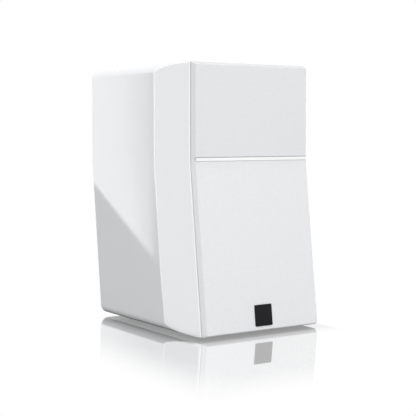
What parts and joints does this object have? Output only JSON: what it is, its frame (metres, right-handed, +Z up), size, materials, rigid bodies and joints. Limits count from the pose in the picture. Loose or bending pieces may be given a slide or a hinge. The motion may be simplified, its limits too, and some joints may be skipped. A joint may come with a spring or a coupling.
{
  "type": "bookshelf speaker",
  "caption": "Two-way bookshelf loudspeaker with a forward-leaning lacquered cabinet, removable cloth grille, woofer, tweeter, rear vent and binding posts.",
  "frame": {"origin": "middle of the whole object's footprint, on the surface that the feet stand on", "axes": "+Z up, +X to the right seen from the front, +Y to the back; the grille faces -Y"},
  "size_m": [0.228, 0.2996, 0.381],
  "materials": {
    "lacquer": "gloss white lacquer over fibreboard",
    "fibreboard": "bare fibreboard",
    "foam": "open-cell foam",
    "rubber": "matte black rubber",
    "grille_cloth": "fine white acoustic cloth",
    "white_plastic": "moulded white plastic",
    "bar": "white gloss trim",
    "badge": "plain black plate, unmarked",
    "black_plastic": "moulded black plastic",
    "red_plastic": "translucent red plastic",
    "steel": "zinc plated steel",
    "aluminium": "satin aluminium",
    "cast": "black powder coat on cast aluminium",
    "ferrite": "ferrite",
    "copper": "enamelled copper wire",
    "brass": "gold plated brass",
    "cone": "coated fibre cone",
    "kapton": "polyimide film",
    "spider_cloth": "resin-dipped cotton",
    "circuit_board": "green circuit board",
    "ceramic": "white ceramic",
    "film": "yellow film wrap"
  },
  "bodies": {
    "cabinet": {"cabinet_shell": "lacquer", "front_baffle": "lacquer", "rear_panel": "lacquer", "window_brace": "fibreboard", "damping_foam": "foam", "foot_front_left": "rubber", "foot_front_right": "rubber", "foot_rear_left": "rubber", "foot_rear_right": "rubber", "baffle_magnet_lower_left": "steel", "baffle_magnet_lower_right": "steel", "baffle_magnet_upper_left": "steel", "baffle_magnet_upper_right": "steel", "tweeter_faceplate": "black_plastic", "tweeter_surround": "rubber", "tweeter_top_plate": "steel", "tweeter_magnet": "ferrite", "tweeter_pole_plate": "steel", "tweeter_rear_chamber": "black_plastic", "woofer_basket": "cast", "woofer_gasket": "rubber", "woofer_surround": "rubber", "woofer_spider": "spider_cloth", "woofer_top_plate": "steel", "woofer_magnet": "ferrite", "woofer_pole_plate": "steel", "port_flare": "black_plastic", "port_tube": "black_plastic", "terminal_cup": "black_plastic", "red_post": "brass", "black_post": "brass", "crossover_board": "circuit_board", "crossover_woofer_inductor": "copper", "crossover_tweeter_inductor": "copper", "crossover_large_capacitor": "film", "crossover_small_capacitor": "film", "crossover_resistor": "ceramic", "board_standoff_front_left": "black_plastic", "board_standoff_front_right": "black_plastic", "board_standoff_rear_left": "black_plastic", "board_standoff_rear_right": "black_plastic"},
    "grille": {"grille_frame": "white_plastic", "grille_cloth_lower": "grille_cloth", "grille_cloth_upper": "grille_cloth", "grille_bar": "bar", "grille_badge": "badge", "grille_magnet_lower_left": "steel", "grille_magnet_lower_right": "steel", "grille_magnet_upper_left": "steel", "grille_magnet_upper_right": "steel"},
    "woofer_cone": {"woofer_cone": "cone", "woofer_dust_cap": "cone", "woofer_coil_former": "kapton", "woofer_coil_winding": "copper"},
    "tweeter_dome": {"tweeter_dome": "aluminium", "tweeter_voice_coil": "copper"},
    "red_washer": {"red_post_washer": "brass"},
    "red_knob": {"red_post_knob": "red_plastic"},
    "black_washer": {"black_post_washer": "brass"},
    "black_knob": {"black_post_knob": "black_plastic"}
  },
  "joints": [
    {"name": "grille_pull", "type": "slide", "parent": "cabinet", "child": "grille", "axis": [0, -1, 0], "range_m": [0, 0.06]},
    {"name": "woofer_stroke", "type": "slide", "parent": "cabinet", "child": "woofer_cone", "axis": [0, -0.993, 0.1184], "range_m": [-0.004, 0.004], "stiffness_N_per_m": 1200, "deforming": ["woofer_surround", "woofer_spider"]},
    {"name": "tweeter_stroke", "type": "slide", "parent": "cabinet", "child": "tweeter_dome", "axis": [0, -1, 0], "range_m": [-0.0005, 0.0005], "stiffness_N_per_m": 400, "deforming": ["tweeter_surround"]},
    {"name": "red_washer_travel", "type": "slide", "parent": "cabinet", "child": "red_washer", "axis": [0, 0.993, -0.1184], "range_m": [0, 0.005]},
    {"name": "red_knob_turn", "type": "hinge", "parent": "red_washer", "child": "red_knob", "pos_m": [-0.0095, 0.11289, 0.10749], "axis": [0, 0.993, -0.1184], "range_deg": [0, 1440]},
    {"name": "black_washer_travel", "type": "slide", "parent": "cabinet", "child": "black_washer", "axis": [0, 0.993, -0.1184], "range_m": [0, 0.005]},
    {"name": "black_knob_turn", "type": "hinge", "parent": "black_washer", "child": "black_knob", "pos_m": [0.0095, 0.11289, 0.10749], "axis": [0, 0.993, -0.1184], "range_deg": [0, 1440]}
  ],
  "couplings": [
    {"joint": "red_knob_turn", "follows": "red_washer_travel", "rad_per_m": 5026.5},
    {"joint": "black_knob_turn", "follows": "black_washer_travel", "rad_per_m": 5026.5}
  ]
}
